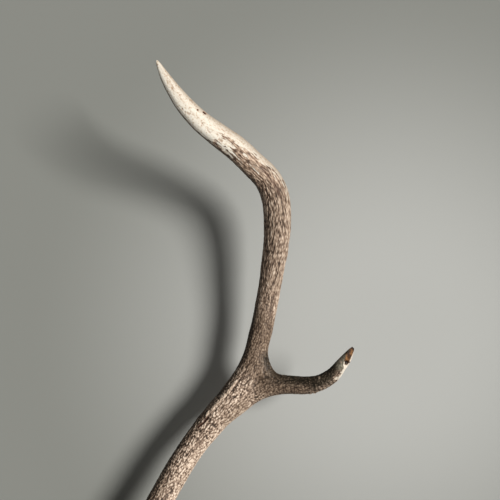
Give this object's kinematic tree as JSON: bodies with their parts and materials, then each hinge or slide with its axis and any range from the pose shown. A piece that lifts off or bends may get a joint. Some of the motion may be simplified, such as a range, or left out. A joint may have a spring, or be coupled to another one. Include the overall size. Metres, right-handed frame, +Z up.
{
  "type": "antler mount",
  "caption": "Single branched deer antler with a pearled brown beam, an ivory upper tip and a broken side tine, fixed to a wooden wall shield that hangs on a keyhole plate.",
  "frame": {"origin": "middle of the wooden shield's back face, on the wall", "axes": "+Y into the wall, +Z up, +X to the right as seen from the front; the antler stands out towards -Y"},
  "size_m": [0.3874, 0.1694, 0.786],
  "materials": {
    "antler": "satin",
    "stained_wood": "satin",
    "zinc_steel": "satin"
  },
  "bodies": {
    "root": {"plaque": "stained_wood", "beam": "antler", "upper_tine": "antler", "side_tine": "antler", "antler_screw": "zinc_steel", "hanger_plate": "zinc_steel", "hanger_screw_upper": "zinc_steel", "hanger_screw_lower": "zinc_steel"}
  },
  "joints": []
}
